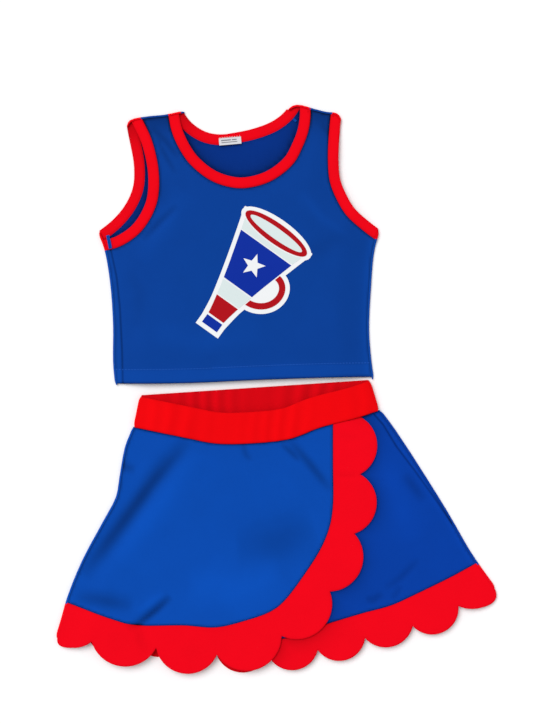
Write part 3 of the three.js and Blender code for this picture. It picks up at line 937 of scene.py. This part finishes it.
def topFrontShade(points):
    share = (points - topArea[0]) / (topArea[1] - topArea[0])
    straps = topLook["strapDark"] * besideSeams(points, "shoulder_seam_", topLook["strapReach"])
    sides = topLook["sideLight"] * besideSeams(points, "side_seam_", topLook["sideReach"])
    hem = topLook["hemLight"] * (points[:, 1] < np.interp(points[:, 0], hemLine[:, 0], hemLine[:, 1]))
    folds = folded(points, topArea, topFolds, dark=True) / mm * topLook["foldShade"]
    groove = grooveSettings["shade"] * grooveNear(points, topArea, sideGroove)
    return 1.02 - straps + hem + sides + folds - groove + topLook["fall"] * (1 - share.sum(1))


def topInsideShade(points):
    far = outlineAway(points, [n for n in bindings if n.endswith("front")])
    hollow = topLook["insideDark"] * np.exp(-far / topLook["insideReach"])
    return 1.02 - hollow - topLook["rimDark"] * np.exp(-(far / topLook["rimReach"]) ** 2)


def bindingBackShade(points):
    strap = nearness(points, seamLines["shoulder_seam_left"], topLook["strapReach"])
    inside = np.exp(-outlineAway(points, ["top_front_panel"]) / topLook["backReach"])
    return 0.97 - topLook["backStrapDark"] * strap - topLook["backDark"] * inside


clothPiece("topBack", ["top_back_panel"], "top", topBackTop, topShadedInside, "blue_double_knit",
           rests=["floor"], onIt=[label, labelThread], shadeOf=topInsideShade, seamShade=0.3)

# a seam's loose end is caught over the binding that crosses it
tabSettings = {
    "wide": 3.4 * mm,
    "smallWide": 2.4 * mm,
    "over": 0.4 * mm,
    "smallOver": 0.8 * mm,
    "thick": 0.5 * mm,
    "light": 0.9,
}


def seamTab(name, ends, wide, heightOf):
    a, b = placed(topArea, ends)
    across = np.array([(b - a)[1], -(b - a)[0]]) / np.linalg.norm(b - a) * wide / 2
    bm = flatSheet(np.array([a - across, b - across, b + across, a + across])[::-1], 1.5 * mm, [0.4 * mm])
    layUp(bm, heightOf)
    flip = next(iter(bm.faces)).normal.z < 0
    obj = thickened(toMesh(bm, name, flip), tabSettings["thick"])
    obj.data.materials.append(topSideLit)
    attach(obj, "top")
    shaded(obj, np.full(len(obj.data.vertices), tabSettings["light"]))
    return obj


def underarmTop(points):
    return topFrontTop(points) + binding["overRed"] + tabSettings["over"]


def shoulderTop(points):
    return topBackTop(points) + tabSettings["smallOver"]


tabs = [seamTab("underarmTab", [(0.0060, 0.541), (0.0160, 0.492)], tabSettings["wide"], underarmTop),
        seamTab("shoulderTab", [(0.695, 0.966), (0.706, 0.957)], tabSettings["smallWide"], shoulderTop)]
clothPiece("topFront", ["top_front_panel"], "top", topFrontTop, topBlue, "blue_double_knit",
           step=pieceSettings["fineStep"], rests=["topBack"], onIt=tabs, shadeOf=topFrontShade,
           seamShade=topLook["seamShade"], groove=placed(topArea, sideGroove))
for side in ("left", "right"):
    seamStrip("sideSeam" + side.title(), "side_seam_" + side, "top", topCentre, topFrontTop, topSideLit,
              red=bindings, redMaterial=bindingRed, redLift=binding["overRed"])
    seamStrip("shoulderSeam" + side.title(), "shoulder_seam_" + side, "top", topCentre, topFrontTop, topBlue,
              red=bindings, redMaterial=bindingRed, redLift=binding["overRed"],
              blueEnd=3.2 * mm if side == "left" else 0.0, endCut=5)


def camelName(node):
    words = node.split("_")
    return words[0] + "".join(w.title() for w in words[1:])


for node in bindings:
    isFront = node.endswith("front")
    clothPiece(camelName(node), [node], "top", topFrontTop if isFront else topBackTop, bindingRed,
               "red_binding_knit", thick=binding["thick"], step=binding["step"], rim=binding["rim"],
               lift=binding["lift"] if isFront else binding["backLift"], seamShade=0.14,
               shadeOf=None if isFront else bindingBackShade,
               rests=["topFront" if isFront else "topBack"], held="folded")
stitchRow("hemStitchFront", "hem_stitch_front", "top", topFrontTop, 0.12 * mm, threadBlue)
stitchRow("hemStitchBack", "hem_stitch_back", "top", topBackTop, 0.1 * mm, threadBlue)
print("top made")

# the print on the top: each layer's height over the cloth
printSettings = {
    "backing": 0.24 * mm,
    "layer": 0.44 * mm,
    "bellInside": 0.6 * mm,
    "star": 0.64 * mm,
    "film": 0.16 * mm,
    "outlineStep": 1.6 * mm,
    "blunt": 100,              # degrees; the backing's sharper spikes are cut off
}


def filmPiece(name, node, material, lift, blunt=180):
    outline = cutOutline((node,), printSettings["outlineStep"])
    outline = outline[turns(outline) < blunt]
    bm = flatSheet(outline, 4.0 * mm, [0.25 * mm])
    layUp(bm, lambda points: topFrontTop(points) + lift)
    obj = thickened(toMesh(bm, name), printSettings["film"])
    finished(obj, material, [node], "top")
    shaded(obj)


filmPiece("printBacking", "print_backing", filmWhite, printSettings["backing"],
          blunt=printSettings["blunt"])
for node, material, slot in (
        ("print_cone_tip", filmRed, "red_film"), ("print_narrow_band", filmPale, "pale_film"),
        ("print_cone_middle", filmBlue, "blue_film"), ("print_wide_band", filmPale, "pale_film"),
        ("print_mouthpiece", filmBlue, "blue_film"), ("print_bell_rim", filmRed, "red_film"),
        ("print_bell_inside", filmPale, "pale_film"), ("print_handle", filmRed, "red_film")):
    height = "bellInside" if node == "print_bell_inside" else "layer"
    filmPiece(camelName(node), node, material, printSettings[height])
filmPiece("printStar", "print_star", filmWhite, printSettings["star"])
print("print made")

# the skirt
skirtCentre = (skirtArea[0] + skirtArea[1]) / 2
trim = {"thick": 1.15 * mm, "rim": (1.6 * mm, 0.5 * mm), "lift": 0.35 * mm, "step": 3.2 * mm,
        "seamShade": 0.10}
# painted light and shade on the skirt; the panel under the wrap gets a painted shadow beside its edge
skirtLook = {
    "foldShade": 0.125,        # per millimetre of fold
    "trimFoldShade": 0.05,
    "lowLight": 0.08,          # the wrap is lighter towards its hem
    "lowShare": 0.75,
    "overShade": 0.34,         # the panel under the wrap is darker beside its edge
    "overTrimShade": 0.30,
    "overReach": 8 * mm,
    "hipLight": 0.24,
    "hipReach": 5 * mm,
    "seamShade": 0.72,
    "rollReach": 28 * mm,      # a reach beside the wrap's fold line
}
wrapTrimNodes = ("wrap_trim_waist", "wrap_trim_hem", "wrap_trim_flap")


def wrapShade(points):
    share = (points - skirtArea[0]) / (skirtArea[1] - skirtArea[0])
    low = skirtLook["lowLight"] * np.clip(skirtLook["lowShare"] - share[:, 1], 0, 1)
    return 0.98 + low + folded(points, skirtArea, wrapFolds, dark=True) / mm * skirtLook["foldShade"]


def trimShade(points):
    return 1.0 + folded(points, skirtArea, wrapFolds, dark=True) / mm * skirtLook["trimFoldShade"]


# how near the wrap's edge a point is, for the painted shadow the wrap casts
def besideWrap(points):
    return np.exp(-away(points, closed(cutOutline(wrapTrimNodes))) / skirtLook["overReach"])


def underShade(points):
    groove = grooveSettings["shade"] * grooveNear(points, skirtArea, hipGroove)
    hip = skirtLook["hipLight"] * nearness(points, seamLines["skirt_seam_right"], skirtLook["hipReach"])
    folds = folded(points, skirtArea, underFolds, dark=True) / mm * skirtLook["foldShade"]
    return 1.04 - skirtLook["overShade"] * besideWrap(points) + folds - groove + hip


def underTrimShade(points):
    return 1.0 - skirtLook["overTrimShade"] * besideWrap(points)


clothPiece("skirtBack", ["skirt_back_panel"], "skirt", topBackTop, underBlue, "skirt_blue_knit",
           rests=["floor"])
clothPiece("skirtBackTrim", ["skirt_back_trim"], "skirt", topBackTop, shadedInsideRed, "red_trim_knit",
           rests=["floor"], ends=("left", "right"))
clothPiece("skirtUnderPanel", ["skirt_under_panel"], "skirt", underTop, underBlue, "skirt_blue_knit",
           step=pieceSettings["fineStep"], rests=["skirtBack"], shadeOf=underShade,
           seamShade=skirtLook["seamShade"], groove=placed(skirtArea, hipGroove))
clothPiece("skirtUnderTrim", ["skirt_under_trim"], "skirt", underTop, trimRed, "red_trim_knit",
           rests=["skirtBackTrim"], held="folded", shadeOf=underTrimShade, ends=("right",), **trim)
wrapPanel = clothPiece("wrapPanel", ["wrap_panel_fixed", "wrap_panel_flap"], None, wrapTop, wrapBlue,
                       "skirt_blue_knit", step=pieceSettings["fineStep"], rests=["skirtUnderPanel"],
                       shadeOf=wrapShade, seamShade=skirtLook["seamShade"])
wrapTrim = clothPiece("wrapTrim", list(wrapTrimNodes), None, wrapTop, trimRed, "red_trim_knit",
                      rests=["skirtUnderPanel"], held="folded", shadeOf=trimShade, ends=("left",), **trim)

# the wrap's fold line and the side of it where the free part lies, read from the wrap_fold joint
foldJoint = next(j for j in frame["joints"] if j["name"] == "wrap_fold")
foldStart = Vector(foldJoint["pos_m"])
foldAway = Vector(foldJoint["axis"]).cross((0, 0, 1)).normalized()
flapLow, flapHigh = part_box("wrap_panel_flap")
if foldAway.dot((flapLow + flapHigh) / 2 - foldStart) < 0:
    foldAway.negate()
for piece in (wrapPanel, wrapTrim):
    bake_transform(piece)

for side, topAt, material in (("left", wrapTop, wrapBlue), ("right", underTop, underBlue)):
    seamStrip("skirtSeam" + side.title(), "skirt_seam_" + side, "skirt", skirtCentre, topAt, material,
              red=["skirt_back_trim"], panel="skirt_back_panel", redMaterial=trimRed,
              redLift=0.3 * mm, endCut=4)
print("skirt made")


# the waistband, from the floor up
def bandFrontShade(points):
    return 1 + band["frontShade"] * gathers(points, 1.0, band["frontPhase"])


def bandBackShade(points):
    return 1 + band["backShade"] * gathers(points, 1.0, band["backPhase"])


for name, node, heightOf, down, material in (
        ("bandBackOuter", "waistband_back_outer", topBackTop, 0.0, bandRed),
        ("elasticBack", "waist_elastic_back", backBandTop, band["elasticDown"], elasticWhite),
        ("bandBackInner", "waistband_back_inner", backBandTop, 0.0, shadedInsideRed),
        ("bandFrontInner", "waistband_front_inner", bandTop, band["innerDown"], shadedInsideRed),
        ("elasticFront", "waist_elastic_front", bandTop, band["elasticDown"], elasticWhite),
        ("bandFrontOuter", "waistband_front_outer", bandTop, 0.0, bandRed)):
    isElastic = "elastic" in node
    isFront = "front" in node
    clothPiece(name, [node], "skirt", heightOf, material,
               "white_elastic" if isElastic else "red_waistband_knit",
               thick=band["elastic"] if isElastic else lay["cloth"], step=band["step"], rim=band["rim"],
               lift=-down, held="stretched" if isElastic else "gathered", seamShade=0.10,
               shadeOf=bandFrontShade if isFront else bandBackShade,
               rests=["skirtUnderPanel" if isFront else "floor"])
for side in ("left", "right"):
    seamStrip("bandSeam" + side.title(), "waistband_seam_" + side, "skirt", skirtCentre, bandTop, bandRed,
              arc=16, count=40)
print("waistband made")

# floor, light and camera
stage = {
    "floor": (247, 247, 248),
    "floorReach": 14.0,
    "floorDrop": 0.2 * mm,
    "sky": 0.60,
    "sun": 1.95,
    "sunSoft": 42,             # degrees
    "sunFrom": (-0.42, 0.46, 1.0),
    "cameraHeight": 1.6,
    "sensor": 36,
    "lens": 79.31,
    "middle": (-10.34 * mm, 26.8 * mm),
}

bm = bmesh.new()
bmesh.ops.create_circle(bm, cap_ends=True, segments=96, radius=stage["floorReach"],
                        matrix=Matrix.Translation((0, 0, -stage["floorDrop"])))
floor = toMesh(bm, "floor", flip=next(iter(bm.faces)).normal.z < 0)
floorPaint = bpy.data.materials.new("floorPaint")
floorPaint.use_nodes = True
floorShader = floorPaint.node_tree.nodes["Principled BSDF"]
floorShader.inputs["Base Color"].default_value = paint(*stage["floor"])
floorShader.inputs["Roughness"].default_value = 0.9
floorShader.inputs["Specular IOR Level"].default_value = 0.1
floor.data.materials.append(floorPaint)

world = bpy.data.worlds.new("softRoom")
world.use_nodes = True
world.node_tree.nodes["Background"].inputs["Color"].default_value = (1, 1, 1, 1)
world.node_tree.nodes["Background"].inputs["Strength"].default_value = stage["sky"]
bpy.context.scene.world = world

sunData = bpy.data.lights.new("windowLight", "SUN")
sunData.energy = stage["sun"]
sunData.angle = math.radians(stage["sunSoft"])
sun = bpy.data.objects.new("windowLight", sunData)
sun.rotation_euler = Vector(stage["sunFrom"]).to_track_quat("Z", "Y").to_euler()
bpy.context.scene.collection.objects.link(sun)

cameraData = bpy.data.cameras.new("camera")
cameraData.sensor_width = stage["sensor"]
cameraData.lens = stage["lens"]
camera = bpy.data.objects.new("camera", cameraData)
camera.location = (*stage["middle"], stage["cameraHeight"])
bpy.context.scene.collection.objects.link(camera)
bpy.context.scene.camera = camera
bpy.context.scene.view_settings.view_transform = "Standard"
print("stage ready")
